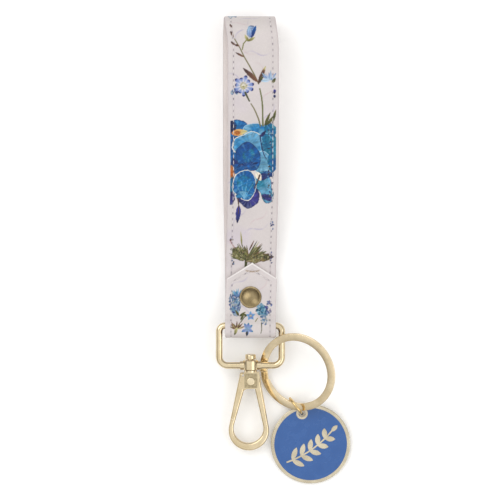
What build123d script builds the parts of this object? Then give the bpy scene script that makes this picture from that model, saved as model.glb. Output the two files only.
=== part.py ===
"""Wristlet keychain: a leather-look hand loop, a swivel clasp, a split ring and an enamelled disc charm.

The object lies on its back. X is to the right, +Y runs up the hand loop, away from the clasp, and +Z is up.
The origin is on the resting face of the loop's back leg, on its centre line. Lengths are in millimetres.
"""

import os
from math import atan2, cos, degrees, radians, sin, sqrt

from build123d import *

# ---------------------------------------------------------------- driving dimensions
# hand loop: one long band of printed face, core and lining, closed round the clasp's top bar by a rivet
strap_width = 22.6
face_t = 0.6
core_t = 0.4
lining_t = 0.6
turned_edge = 1.0
loop_top_y = 58.0
loop_height = 20.0
tab_shoulder = 21.0
tab_apex = 28.0
rivet_from_bar = 11.9
rivet_hole_r = 1.6
cap_r = 4.9
cap_h = 1.9
back_cap_r = 4.2
back_cap_h = 1.0
pocket_half = 2.0
stack_slope = -0.165
lift_from_bar = 23.2
front_rise_angle = 13.0
layer_gap = 0.05

# swivel clasp frame
bar_y = -80.0
bar_z = 8.3
bar_r = 1.5
frame_width = 28.0
frame_depth = 17.9
frame_top_r = 2.6
frame_bottom_r = 3.8
clasp_pitch = 4.5
boss_r = 3.35
boss_length = 4.6
collar_r = 1.95
collar_length = 9.2
pin_r = 1.4
running_gap = 0.06
pin_head_r = 2.4
pin_head_h = 2.2
boss_chamfer = 0.35
pin_grip = 1.6

# hook
block_top = 20.75
block_bottom = 28.2
block_left = -2.9
block_right = 3.9
cheek_half = 2.1
slot_half = 1.25
arm_half = 1.65
arm_fillet = 0.85
bulb_r = 9.1
eye_r = 6.65
bulb_x = -0.75
bulb_from_bar = 47.1
eye_from_bar = 46.2
arm_top_x = (-4.3, 3.5)
arm_top_r = 0.4
arm_top_drop = 0.7
throat_x = (-2.3, 1.5)
throat_r = 0.5
eye_shift = -0.15
neck_r = 2.7
slot_drop = 1.85
spine_x = 2.6
gate_back = 1.1
gate_back_r = 0.55
gate_web = 1.6
gate_web_length = 3.4
pivot_x = 0.1
pivot_from_bar = 24.9
pivot_r = 0.8
pivot_head_r = 1.8
gate_tip_r = 18.9
gate_root_r = 2.22
gate_clear_r = 4.7
ear_gap_half = 0.55
ear_gap_r = 2.0
pivot_head_h = 0.6
pivot_head_round = 0.35
head_seat_r = 2.15
head_seat_depth = 0.25
tip_gap = 0.3
spring_wire_r = 0.13
spring_r = 1.15
spring_turns = 3
spring_height = 0.7
spring_leg = 1.25

# split ring, tilted because it goes under the clasp's bottom bar and over its right leg
ring_outer_r = 18.0
ring_inner_r = 14.65
ring_t = 1.4
ring_x = 20.9
ring_from_bar = 20.6
ring_tilt = 28.5
ring_rise_dir = 32.0
ring_z = 9.96
ring_end_dir = 62.0

# jump ring and charm
jump_r = 4.5
jump_wire_r = 0.6
jump_x = 20.5
jump_from_bar = 36.2
jump_z = 5.12
jump_heading = -52.0
charm_r = 17.85
charm_t = 1.3
charm_rim = 1.5
charm_recess = 0.38
enamel_t = 0.26
charm_x = 27.0
charm_from_bar = 53.35
charm_hole_r = 1.65
charm_collar_r = 2.6
charm_hole_out = 14.4
charm_hole_dir = 105.7
charm_lift = 3.9
stem_points = ((-12.6, -5.0), (0, -2.4), (11.6, 3.8))
stem_width = 0.7
leaf_pairs = (0.1, 0.27, 0.44, 0.61, 0.78)
leaf_angle = 48.0
leaf_width = 2.3
first_leaf = 6.4
leaf_taper = 2.2
end_leaf = 3.8

os.makedirs("parts", exist_ok=True)


# ---------------------------------------------------------------- working planes
band_t = face_t + core_t + lining_t
clasp_plane = Plane(
    origin=(0, bar_y, bar_z),
    x_dir=(1, 0, 0),
    z_dir=(0, -sin(radians(clasp_pitch)), cos(radians(clasp_pitch))),
)
ring_normal = Vector(
    -sin(radians(ring_tilt)) * cos(radians(ring_rise_dir)),
    -sin(radians(ring_tilt)) * sin(radians(ring_rise_dir)),
    cos(radians(ring_tilt)),
)
ring_plane = Plane(
    origin=(ring_x, bar_y - ring_from_bar, ring_z),
    x_dir=(-sin(radians(ring_rise_dir)), cos(radians(ring_rise_dir)), 0),
    z_dir=ring_normal,
)
jump_dir = Vector(cos(radians(jump_heading)), sin(radians(jump_heading)), 0)
jump_plane = Plane(
    origin=(jump_x, bar_y - jump_from_bar, jump_z),
    x_dir=jump_dir,
    z_dir=jump_dir.cross(Vector(0, 0, 1)),
)
charm_hole_way = Vector(cos(radians(charm_hole_dir)), sin(radians(charm_hole_dir)), 0)
charm_up = charm_hole_way * cos(radians(charm_lift)) + Vector(0, 0, sin(radians(charm_lift)))
charm_side = charm_up.cross(Vector(0, 0, 1)).normalized()
charm_base_z = charm_r * sin(radians(charm_lift)) + 0.02
charm_plane = Plane(
    origin=(charm_x, bar_y - charm_from_bar, charm_base_z),
    x_dir=charm_side,
    z_dir=charm_side.cross(charm_up),
)


# ---------------------------------------------------------------- hand loop
# The band is drawn from the side, in the YZ plane, as the line of its printed outer face. It starts at the
# hidden end under the tab, runs up the front leg, over the top fold, down the back leg and round the top bar.
pocket_end_y = bar_y - 3.8 - band_t
back_low = bar_z - pocket_half - band_t
hidden_low = back_low + band_t + layer_gap


def stack_z(low, from_bar):
    """Height of a layer in the riveted stack, which slopes down from the clasp to the table."""
    return low + stack_slope * from_bar


tab_low = hidden_low + band_t + layer_gap
front_rise = radians(front_rise_angle)
tab_shift = (band_t + layer_gap) * sin(front_rise) / 2
outer_points = [
    (bar_y + 4.8, stack_z(hidden_low + band_t, 4.8)),
    (bar_y + lift_from_bar, stack_z(hidden_low + band_t, lift_from_bar)),
    (bar_y + 66.0, stack_z(hidden_low + band_t, lift_from_bar) + 42.8 * sin(front_rise) / cos(front_rise)),
    (bar_y + 100.0, loop_height),
    (loop_top_y, loop_height),
    (loop_top_y, 0),
    (bar_y - back_low / stack_slope, 0),
    (bar_y + 3.0, stack_z(back_low, 3.0)),
    (pocket_end_y, back_low),
    (pocket_end_y, bar_z + pocket_half + band_t),
    (bar_y + 0.6, bar_z + pocket_half + band_t),
    (bar_y + 5.6, stack_z(tab_low + band_t, 5.6)),
    (bar_y + lift_from_bar - tab_shift, stack_z(tab_low + band_t, lift_from_bar - tab_shift)),
    (bar_y + tab_apex, stack_z(tab_low + band_t, lift_from_bar) + 1.2),
]
outer_radii = [18.0, 90.0, 60.0, 9.8, 9.8, 50.0, 20.0, 3.2, 3.2, 3.0, 4.0, 16.4]


def band_line(depth):
    """Corners and bend radii of the line that runs at a depth inside the band's printed face."""
    steps = [(Vector(*b) - Vector(*a)).normalized() for a, b in zip(outer_points, outer_points[1:])]
    inward = [Vector(step.Y, -step.X) for step in steps]
    corners = [Vector(*outer_points[0]) + inward[0] * depth]
    radii = []
    for point, radius, before, after, n1, n2 in zip(
        outer_points[1:], outer_radii, steps, steps[1:], inward, inward[1:]
    ):
        corners.append(Vector(*point) + (n1 + n2) * (depth / (1 + n1.dot(n2))))
        turns_right = before.cross(after).Z < 0
        radii.append(radius - depth if turns_right else radius + depth)
    corners.append(Vector(*outer_points[-1]) + inward[-1] * depth)
    return corners, radii


def band_layer(top, bottom, width):
    """One layer of the band between two depths, before the tab is shaped and the rivet hole is made."""
    with BuildPart() as layer:
        with BuildSketch(Plane.YZ):
            with BuildLine():
                top_corners, top_radii = band_line(top)
                bottom_corners, bottom_radii = band_line(bottom)
                upper = FilletPolyline(*top_corners, radius=top_radii)
                lower = FilletPolyline(*bottom_corners, radius=bottom_radii)
                Line(upper @ 0, lower @ 0)
                Line(upper @ 1, lower @ 1)
            make_face()
        extrude(amount=width / 2, both=True)
    return layer.part


cos_stack = 1 / sqrt(1 + stack_slope**2)
stack_t = (tab_low + band_t - back_low) * cos_stack
rivet_plane = Plane(
    origin=(0, bar_y + rivet_from_bar, stack_z(back_low, rivet_from_bar)),
    x_dir=(1, 0, 0),
    z_dir=(0, -stack_slope, 1),
)


def tab_corners():
    """The two corners to trim from the tab's square end, so that it ends in a low point."""
    corners, radii = band_line(band_t)
    with BuildPart() as cutter:
        with BuildSketch(Plane.YZ):
            with BuildLine():
                under = FilletPolyline(*corners[-3:], radius=radii[-1])
                Polyline(
                    under @ 1,
                    under @ 1 + Vector(0.5, 0.6),
                    under @ 1 + Vector(0.5, 9),
                    under @ 0 + Vector(0, 9),
                    under @ 0,
                )
            make_face()
        extrude(amount=strap_width, both=True)
        with BuildSketch(Plane.XY):
            for side in (-1, 1):
                with BuildLine():
                    Polyline(
                        (0, bar_y + tab_apex),
                        (side * strap_width / 2, bar_y + tab_shoulder),
                        (side * strap_width, bar_y + tab_shoulder),
                        (side * strap_width, bar_y + tab_apex + 2),
                        (0, bar_y + tab_apex + 2),
                        close=True,
                    )
                make_face()
        extrude(amount=loop_height, mode=Mode.INTERSECT)
    return cutter.part


tab_trim = tab_corners()
core_width = strap_width - 2 * turned_edge

with BuildPart() as rivet_way:
    with BuildSketch(rivet_plane.offset(-1)):
        Circle(rivet_hole_r)
    extrude(amount=stack_t + 2)

with BuildPart() as strap_core:
    add(band_layer(face_t, face_t + core_t, core_width))
    add(tab_trim, mode=Mode.SUBTRACT)
    add(rivet_way.part, mode=Mode.SUBTRACT)
strap_core.part.label = "strap_core"
export_step(strap_core.part, "parts/strap_core.step")

# the face is turned over the core along both edges
with BuildPart() as strap_face:
    add(band_layer(face_t, face_t + core_t, strap_width))
    add(band_layer(face_t, face_t + core_t, core_width), mode=Mode.SUBTRACT)
    add(band_layer(0, face_t, strap_width))
    add(tab_trim, mode=Mode.SUBTRACT)
    add(rivet_way.part, mode=Mode.SUBTRACT)
strap_face.part.label = "strap_face"
export_step(strap_face.part, "parts/strap_face.step")

with BuildPart() as strap_lining:
    add(band_layer(face_t + core_t, band_t, strap_width))
    add(tab_trim, mode=Mode.SUBTRACT)
    add(rivet_way.part, mode=Mode.SUBTRACT)
strap_lining.part.label = "strap_lining"
export_step(strap_lining.part, "parts/strap_lining.step")


# ---------------------------------------------------------------- double-cap rivet
post_r = rivet_hole_r - 0.05
socket_depth = 0.9
cap_rim_t = 0.5
cap_rim_r = cap_rim_t / 2
dome_r = cap_r - 0.8
dome_rise = cap_h - cap_rim_t
dome_curve = (dome_r**2 + dome_rise**2) / (2 * dome_rise)
dome_middle = (dome_r / 2, -stack_t - cap_h + dome_curve - sqrt(dome_curve**2 - dome_r**2 / 4))

with BuildPart() as rivet_cap:
    with BuildSketch(Plane(origin=rivet_plane.origin, x_dir=(1, 0, 0), z_dir=rivet_plane.y_dir)):
        with BuildLine():
            Line((0, -stack_t), (cap_r - cap_rim_r, -stack_t))
            ThreePointArc(
                (cap_r - cap_rim_r, -stack_t),
                (cap_r, -stack_t - cap_rim_r),
                (cap_r - cap_rim_r, -stack_t - cap_rim_t),
            )
            Line((cap_r - cap_rim_r, -stack_t - cap_rim_t), (dome_r, -stack_t - cap_rim_t))
            ThreePointArc((dome_r, -stack_t - cap_rim_t), dome_middle, (0, -stack_t - cap_h))
            Line((0, -stack_t - cap_h), (0, -stack_t))
        make_face()
    revolve(axis=Axis(rivet_plane.origin, rivet_plane.z_dir))
    with BuildSketch(rivet_plane.offset(stack_t)):
        Circle(post_r)
    extrude(amount=socket_depth, mode=Mode.SUBTRACT)
rivet_cap.part.label = "rivet_cap"
export_step(rivet_cap.part, "parts/rivet_cap.step")

with BuildPart() as rivet_post:
    with BuildSketch(rivet_plane.offset(-back_cap_h)):
        Circle(back_cap_r)
    extrude(amount=back_cap_h)
    fillet(rivet_post.edges().group_by(Axis(rivet_plane.origin, rivet_plane.z_dir))[0], 0.6)
    with BuildSketch(rivet_plane):
        Circle(post_r)
    extrude(amount=stack_t + socket_depth)
rivet_post.part.label = "rivet_post"
export_step(rivet_post.part, "parts/rivet_post.step")


# ---------------------------------------------------------------- clasp frame
def clasp_point(x, from_bar, up=0.0):
    """A point of the clasp, by its distance below the top bar, in the clasp's own plane."""
    return clasp_plane.from_local_coords(Vector(x, -from_bar, up))


def clasp_section(from_bar):
    """A plane square to the clasp's length, facing back towards the top bar."""
    return Plane(origin=clasp_point(0, from_bar), x_dir=(1, 0, 0), z_dir=clasp_plane.y_dir)


boss_centre = frame_depth - 0.3
boss_low = boss_centre + boss_length / 2
boss_high = boss_centre - boss_length / 2
half_width = frame_width / 2

with BuildPart() as boss:
    with BuildSketch(clasp_section(boss_centre)):
        Circle(boss_r)
    extrude(amount=boss_length / 2, both=True)
    chamfer(boss.edges().filter_by(GeomType.CIRCLE), boss_chamfer)

with BuildPart() as clasp_frame:
    with BuildLine(clasp_plane) as frame_line:
        FilletPolyline(
            (half_width, 0),
            (half_width, -frame_depth),
            (-half_width, -frame_depth),
            (-half_width, 0),
            radius=[frame_top_r, frame_bottom_r, frame_bottom_r, frame_top_r],
            close=True,
        )
    with BuildSketch(Plane(origin=frame_line.line @ 0, z_dir=frame_line.line % 0)):
        Circle(bar_r)
    sweep(path=frame_line.line)
    with BuildSketch(Plane(origin=clasp_point(0, frame_depth), x_dir=clasp_plane.y_dir, z_dir=(1, 0, 0))):
        Circle(collar_r)
    extrude(amount=collar_length / 2, both=True)
    add(boss.part)
    with BuildSketch(clasp_section(boss_centre)):
        Circle(pin_r + running_gap)
    extrude(amount=boss_length, both=True, mode=Mode.SUBTRACT)
clasp_frame.part.label = "clasp_frame"
export_step(clasp_frame.part, "parts/clasp_frame.step")

pin_head_low = boss_high - boss_chamfer
pin_foot = block_top + pin_grip

with BuildPart() as swivel_pin:
    with BuildSketch(clasp_section(pin_head_low)):
        Circle(pin_head_r)
    extrude(amount=pin_head_h)
    fillet(swivel_pin.edges().group_by(Axis(clasp_point(0, 0), clasp_plane.y_dir))[-1], 0.7)
    fillet(swivel_pin.edges().group_by(Axis(clasp_point(0, 0), clasp_plane.y_dir))[0], 0.3)
    with BuildSketch(clasp_section(pin_foot)):
        Circle(pin_r)
    extrude(amount=pin_foot - pin_head_low + 0.2)
swivel_pin.part.label = "swivel_pin"
export_step(swivel_pin.part, "parts/swivel_pin.step")


# ---------------------------------------------------------------- hook and gate
with BuildPart() as arms:
    with BuildSketch(clasp_plane):
        with Locations((bulb_x, -bulb_from_bar)):
            Circle(bulb_r)
        with Locations(*[(x, -block_top - arm_top_drop) for x in arm_top_x]):
            Circle(arm_top_r)
        make_hull()
    extrude(amount=arm_half, both=True)
    with BuildSketch(clasp_plane):
        with Locations((bulb_x + eye_shift, -eye_from_bar)):
            Circle(eye_r)
        with Locations(*[(x, -block_bottom - throat_r) for x in throat_x]):
            Circle(throat_r)
        make_hull()
    extrude(amount=arm_half, both=True, mode=Mode.SUBTRACT)
    fillet(arms.edges().group_by(Axis(clasp_plane.origin, clasp_plane.z_dir))[-1], arm_fillet)
    fillet(arms.edges().group_by(Axis(clasp_plane.origin, clasp_plane.z_dir))[0], arm_fillet)


def gate_side(radius, gap):
    """The space on the gate's side of the hook's block, within a radius of the gate's pivot."""
    with BuildPart() as side:
        with BuildSketch(clasp_plane):
            with Locations((pivot_x, -pivot_from_bar)):
                Circle(radius)
            with Locations((block_left - gap + 20, -pivot_from_bar)):
                Rectangle(40, 60, mode=Mode.SUBTRACT)
        extrude(amount=2 * arm_half, both=True)
    return side.part


slot_top = block_top + slot_drop
head_seat = cheek_half - head_seat_depth

with BuildPart() as hook_body:
    add(arms.part)
    add(gate_side(gate_tip_r + tip_gap, 0), mode=Mode.SUBTRACT)
    with BuildSketch(clasp_plane):
        with Locations(((block_left + block_right) / 2, -(block_top + block_bottom) / 2)):
            Rectangle(block_right - block_left, block_bottom - block_top)
    extrude(amount=cheek_half, both=True)
    with BuildSketch(clasp_section(block_top)):
        Circle(neck_r)
    extrude(amount=block_top - boss_low - 0.08)
    with BuildSketch(clasp_plane):
        with Locations(((block_left - 3 + spine_x) / 2, -(slot_top + block_bottom + 1) / 2)):
            Rectangle(spine_x - block_left + 3, block_bottom + 1 - slot_top)
    extrude(amount=slot_half, both=True, mode=Mode.SUBTRACT)
    with BuildSketch(clasp_plane):
        with Locations((pivot_x, -pivot_from_bar)):
            Circle(pivot_r)
    extrude(amount=cheek_half, both=True, mode=Mode.SUBTRACT)
    for level in (head_seat, -cheek_half):
        with BuildSketch(clasp_plane.offset(level)):
            with Locations((pivot_x, -pivot_from_bar)):
                Circle(head_seat_r)
        extrude(amount=head_seat_depth, mode=Mode.SUBTRACT)
    with BuildSketch(clasp_section(pin_foot)):
        Circle(pin_r)
    extrude(amount=pin_foot - boss_low, mode=Mode.SUBTRACT)
hook_body.part.label = "hook_body"
export_step(hook_body.part, "parts/hook_body.step")

web_half = slot_half - running_gap
gate_back_x = block_left - pivot_x - gate_back
pivot_at = clasp_point(pivot_x, pivot_from_bar)
pivot_plane = Plane(origin=pivot_at, x_dir=(1, 0, 0), z_dir=clasp_plane.z_dir)

with BuildPart() as gate:
    add(arms.part)
    add(gate_side(gate_tip_r, running_gap), mode=Mode.INTERSECT)
    with BuildSketch(pivot_plane):
        Circle(gate_clear_r)
    extrude(amount=2 * arm_half, both=True, mode=Mode.SUBTRACT)
    with BuildSketch(pivot_plane):
        Circle(gate_root_r)
        with Locations((gate_back_x, -gate_clear_r + gate_back_r), (gate_back_x, 1.5)):
            Circle(gate_back_r)
        make_hull()
    extrude(amount=web_half, both=True)
    with BuildSketch(clasp_plane):
        with Locations((gate_back_x + pivot_x - gate_back_r / 2, -pivot_from_bar - gate_clear_r)):
            Rectangle(gate_web, gate_web_length)
    extrude(amount=web_half, both=True)
    with BuildSketch(pivot_plane):
        Circle(ear_gap_r)
    extrude(amount=ear_gap_half, both=True, mode=Mode.SUBTRACT)
    with BuildSketch(pivot_plane):
        Circle(pivot_r + running_gap)
    extrude(amount=web_half, both=True, mode=Mode.SUBTRACT)
gate.part.label = "gate"
export_step(gate.part, "parts/gate.step")

with BuildPart() as gate_pin:
    with BuildSketch(pivot_plane):
        Circle(pivot_r)
    extrude(amount=head_seat, both=True)
    for side in (-1, 1):
        with BuildSketch(pivot_plane.offset(side * (head_seat + pivot_head_h / 2))):
            Circle(pivot_head_r)
        extrude(amount=pivot_head_h / 2, both=True)
    pin_axis = Axis(pivot_at, clasp_plane.z_dir)
    fillet(gate_pin.edges().group_by(pin_axis)[-1], pivot_head_round)
    fillet(gate_pin.edges().group_by(pin_axis)[0], pivot_head_round)
gate_pin.part.label = "gate_pin"
export_step(gate_pin.part, "parts/gate_pin.step")

with BuildPart() as gate_spring:
    with BuildLine(pivot_plane.offset(-spring_height / 2)) as coil:
        Helix(pitch=spring_height / spring_turns, height=spring_height, radius=spring_r)
    with BuildSketch(Plane(origin=coil.line @ 0, z_dir=coil.line % 0)):
        Circle(spring_wire_r)
    sweep(path=coil.line)
    for end, way in ((0, -1), (1, 1)):
        with BuildSketch(Plane(origin=coil.line @ end, z_dir=(coil.line % end) * way)):
            Circle(spring_wire_r)
        extrude(amount=spring_leg)
gate_spring.part.label = "gate_spring"
export_step(gate_spring.part, "parts/gate_spring.step")


# ---------------------------------------------------------------- split ring
groove = 0.12
ring_edge = 0.15
notch_width = 0.9
notch_apart = 14.0

with BuildPart() as split_ring:
    with BuildSketch(Plane(origin=ring_plane.origin, x_dir=ring_plane.x_dir, z_dir=-ring_plane.y_dir)):
        with BuildLine():
            Polyline(
                (ring_inner_r, -ring_t / 2 + ring_edge),
                (ring_inner_r + ring_edge, -ring_t / 2),
                (ring_outer_r - ring_edge, -ring_t / 2),
                (ring_outer_r, -ring_t / 2 + ring_edge),
                (ring_outer_r, -groove),
                (ring_outer_r - groove, 0),
                (ring_outer_r, groove),
                (ring_outer_r, ring_t / 2 - ring_edge),
                (ring_outer_r - ring_edge, ring_t / 2),
                (ring_inner_r + ring_edge, ring_t / 2),
                (ring_inner_r, ring_t / 2 - ring_edge),
                (ring_inner_r, groove),
                (ring_inner_r + groove, 0),
                (ring_inner_r, -groove),
                close=True,
            )
        make_face()
    revolve(axis=Axis(ring_plane.origin, ring_plane.z_dir))
    for level, turn in ((0, ring_end_dir), (-ring_t / 2, ring_end_dir + notch_apart)):
        with BuildSketch(ring_plane.offset(level)):
            with Locations(Location((0, 0, 0), (0, 0, turn))):
                with Locations(((ring_outer_r + ring_inner_r) / 2, 0)):
                    Rectangle(ring_outer_r - ring_inner_r + 1, notch_width)
        extrude(amount=ring_t / 2, mode=Mode.SUBTRACT)
split_ring.part.label = "split_ring"
export_step(split_ring.part, "parts/split_ring.step")


# ---------------------------------------------------------------- jump ring and charm
with BuildPart() as jump_ring:
    with BuildSketch(Plane(origin=jump_plane.origin, x_dir=jump_plane.y_dir, z_dir=jump_plane.x_dir)):
        with Locations((jump_r, 0)):
            Circle(jump_wire_r)
    revolve(axis=Axis(jump_plane.origin, jump_plane.z_dir), revolution_arc=358.5)
jump_ring.part.label = "jump_ring"
export_step(jump_ring.part, "parts/jump_ring.step")

recess_floor = charm_t - charm_recess
recess_r = charm_r - charm_rim


def leaf(length, width):
    """Half-lens outlines of one leaf with its base at the sketch's origin."""
    with BuildSketch(mode=Mode.PRIVATE) as blade:
        with BuildLine():
            ThreePointArc((0, 0), (length * 0.45, width / 2), (length, 0))
            ThreePointArc((length, 0), (length * 0.45, -width / 2), (0, 0))
        make_face()
    return blade.sketch


with BuildSketch(charm_plane.offset(recess_floor)) as sprig:
    with BuildLine():
        stem = ThreePointArc(*stem_points)
    trace(line_width=stem_width)
    for along in leaf_pairs:
        root = stem @ along
        heading = degrees(atan2((stem % along).Y, (stem % along).X))
        for side in (-1, 1):
            with Locations(Location((root.X, root.Y, 0), (0, 0, heading + side * leaf_angle))):
                add(leaf(first_leaf - leaf_taper * along, leaf_width))
    with Locations(Location(tuple(stem @ 0.95), (0, 0, heading))):
        add(leaf(end_leaf, leaf_width - 0.4))

with BuildPart() as charm_disc:
    with BuildSketch(charm_plane):
        Circle(charm_r)
    extrude(amount=charm_t)
    fillet(charm_disc.edges(), 0.3)
    with BuildSketch(charm_plane.offset(recess_floor)):
        Circle(recess_r)
        with Locations((0, charm_hole_out)):
            Circle(charm_collar_r, mode=Mode.SUBTRACT)
        add(sprig.sketch_local, mode=Mode.SUBTRACT)
    extrude(amount=charm_recess, mode=Mode.SUBTRACT)
    with BuildSketch(charm_plane):
        with Locations((0, charm_hole_out)):
            Circle(charm_hole_r)
    extrude(amount=charm_t, mode=Mode.SUBTRACT)
charm_disc.part.label = "charm_disc"
export_step(charm_disc.part, "parts/charm_disc.step")

with BuildPart() as charm_enamel:
    with BuildSketch(charm_plane.offset(recess_floor)):
        Circle(recess_r)
        with Locations((0, charm_hole_out)):
            Circle(charm_collar_r, mode=Mode.SUBTRACT)
        add(sprig.sketch_local, mode=Mode.SUBTRACT)
    extrude(amount=enamel_t)
charm_enamel.part.label = "charm_enamel"
export_step(charm_enamel.part, "parts/charm_enamel.step")
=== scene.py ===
"""Looks of the wristlet keychain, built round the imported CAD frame.

Lengths are in millimetres, and MM turns them into metres where a mesh, light or camera is made.
"""

import math

import bpy
import numpy as np
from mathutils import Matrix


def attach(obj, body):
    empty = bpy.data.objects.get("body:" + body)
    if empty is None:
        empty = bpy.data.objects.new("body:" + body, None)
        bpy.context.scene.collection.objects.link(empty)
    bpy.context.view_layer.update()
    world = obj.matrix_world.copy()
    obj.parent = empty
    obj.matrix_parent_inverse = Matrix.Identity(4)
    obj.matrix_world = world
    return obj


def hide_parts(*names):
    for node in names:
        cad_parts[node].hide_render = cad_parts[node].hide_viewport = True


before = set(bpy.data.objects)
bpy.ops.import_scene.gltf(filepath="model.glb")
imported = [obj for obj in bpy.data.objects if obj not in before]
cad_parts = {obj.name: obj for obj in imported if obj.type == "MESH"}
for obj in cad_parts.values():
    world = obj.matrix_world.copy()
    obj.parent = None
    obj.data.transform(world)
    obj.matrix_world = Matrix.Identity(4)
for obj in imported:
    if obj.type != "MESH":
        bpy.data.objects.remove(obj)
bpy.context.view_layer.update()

MM = 0.001
BAR_Y = -80.0

# ---------------------------------------------------------------- camera
VIEW_CENTRE = (-0.22, -46.2)
VIEW_WIDTH = 223.0
CAMERA_UP = 1000.0
MEAN_HEIGHT = 10.0
SENSOR_WIDTH = 36.0

scene = bpy.context.scene
camera_data = bpy.data.cameras.new("camera")
camera_data.sensor_width = SENSOR_WIDTH
camera_data.lens = SENSOR_WIDTH * CAMERA_UP / VIEW_WIDTH
camera = bpy.data.objects.new("camera", camera_data)
camera.location = (VIEW_CENTRE[0] * MM, VIEW_CENTRE[1] * MM, (CAMERA_UP + MEAN_HEIGHT) * MM)
scene.collection.objects.link(camera)
scene.camera = camera


# ---------------------------------------------------------------- small helpers
def smooth(t):
    """0 below 0, 1 above 1, and an even ramp between."""
    t = np.clip(t, 0.0, 1.0)
    return t * t * (3.0 - 2.0 * t)


LATTICE = np.random.default_rng(7).random((64, 64))


def noise(x, y, size, seed=0):
    """Even blotches from 0 to 1 about size across."""
    gx = x / size + 17.3 * seed + 400.0
    gy = y / size + 9.7 * seed + 400.0
    ix = np.floor(gx).astype(int)
    iy = np.floor(gy).astype(int)
    fx = smooth(gx - ix)
    fy = smooth(gy - iy)
    low = LATTICE[ix % 64, iy % 64] * (1 - fx) + LATTICE[(ix + 1) % 64, iy % 64] * fx
    high = LATTICE[ix % 64, (iy + 1) % 64] * (1 - fx) + LATTICE[(ix + 1) % 64, (iy + 1) % 64] * fx
    return low * (1 - fy) + high * fy


def fine_noise(x, y, size, seed=0):
    """Blotches with two finer sets on them."""
    return (
        0.55 * noise(x, y, size, seed)
        + 0.3 * noise(x, y, size / 2.2, seed + 1)
        + 0.15 * noise(x, y, size / 5.0, seed + 2)
    )


def make_mesh(name, points, faces, material, colours=None):
    """A mesh object from points in millimetres and lists of corner numbers."""
    mesh = bpy.data.meshes.new(name)
    mesh.from_pydata((np.asarray(points) * MM).tolist(), [], faces)
    mesh.update()
    if colours is not None:
        paint = mesh.color_attributes.new("paint", "FLOAT_COLOR", "POINT")
        linear = np.where(colours <= 0.04045, colours / 12.92, ((colours + 0.055) / 1.055) ** 2.4)
        with_alpha = np.concatenate([linear, np.ones((len(linear), 1))], axis=1)
        paint.data.foreach_set("color", with_alpha.ravel().astype(np.float32))
    mesh.polygons.foreach_set("use_smooth", [True] * len(mesh.polygons))
    mesh.materials.append(material)
    piece = bpy.data.objects.new(name, mesh)
    scene.collection.objects.link(piece)
    return piece


def grid_faces(rows, columns):
    """Quads over a grid whose rows are closed loops of points, with its two ends capped."""
    faces = []
    for i in range(rows - 1):
        here = i * columns
        there = here + columns
        for j in range(columns):
            k = (j + 1) % columns
            faces.append((here + j, here + k, there + k, there + j))
    faces.append(tuple(range(columns - 1, -1, -1)))
    faces.append(tuple(range((rows - 1) * columns, rows * columns)))
    return faces


# ---------------------------------------------------------------- materials
def new_material(name):
    material = bpy.data.materials.new(name)
    material.use_nodes = True
    tree = material.node_tree
    return material, tree, tree.nodes["Principled BSDF"]


def texture(tree, kind, scale, detail=2.0, **settings):
    """A noise or Voronoi texture laid over the object's own coordinates, and its outputs."""
    place = tree.nodes.new("ShaderNodeTexCoord")
    node = tree.nodes.new(kind)
    tree.links.new(place.outputs["Object"], node.inputs["Vector"])
    node.inputs["Scale"].default_value = scale
    if "Detail" in node.inputs:
        node.inputs["Detail"].default_value = detail
    for key, value in settings.items():
        setattr(node, key, value)
    return node


def ramp(tree, source, low, high, at=(0.3, 0.7)):
    """A colour or a grey that runs from low to high as source goes between two values."""
    node = tree.nodes.new("ShaderNodeValToRGB")
    tree.links.new(source, node.inputs["Fac"])
    for stop, value, where in zip(node.color_ramp.elements, (low, high), at):
        stop.position = where
        stop.color = (*value, 1.0) if isinstance(value, tuple) else (value, value, value, 1.0)
    return node.outputs["Color"]


def bump(tree, shader, source, strength, height):
    """Adds relief of a height in millimetres to the shader's normal."""
    node = tree.nodes.new("ShaderNodeBump")
    node.inputs["Strength"].default_value = strength
    node.inputs["Distance"].default_value = height * MM
    tree.links.new(source, node.inputs["Height"])
    old = shader.inputs["Normal"].links
    if old:
        tree.links.new(old[0].from_socket, node.inputs["Normal"])
    tree.links.new(node.outputs["Normal"], shader.inputs["Normal"])


def mix(tree, factor, a, b, blend="MIX"):
    """Mixes two colours, each a socket or a tuple, by a socket or a number."""
    node = tree.nodes.new("ShaderNodeMix")
    node.data_type = "RGBA"
    node.blend_type = blend
    for socket, value in ((node.inputs[0], factor), (node.inputs[6], a), (node.inputs[7], b)):
        if isinstance(value, bpy.types.NodeSocket):
            tree.links.new(value, socket)
        else:
            socket.default_value = (*value, 1.0) if isinstance(value, tuple) else value
    return node.outputs[2]


def metal(name, dark, light, rough, grain, scratches=0.1):
    """Plated metal: a slightly uneven colour and gloss, with fine polishing marks."""
    material, tree, shader = new_material(name)
    cloud = texture(tree, "ShaderNodeTexNoise", 220.0, 4.0)
    fine = texture(tree, "ShaderNodeTexNoise", 2600.0, 3.0)
    tree.links.new(ramp(tree, cloud.outputs["Fac"], dark, light), shader.inputs["Base Color"])
    tree.links.new(
        ramp(tree, fine.outputs["Fac"], rough - grain, rough + grain, (0.35, 0.65)),
        shader.inputs["Roughness"],
    )
    shader.inputs["Metallic"].default_value = 1.0
    bump(tree, shader, fine.outputs["Fac"], scratches, 0.01)
    return material


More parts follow.
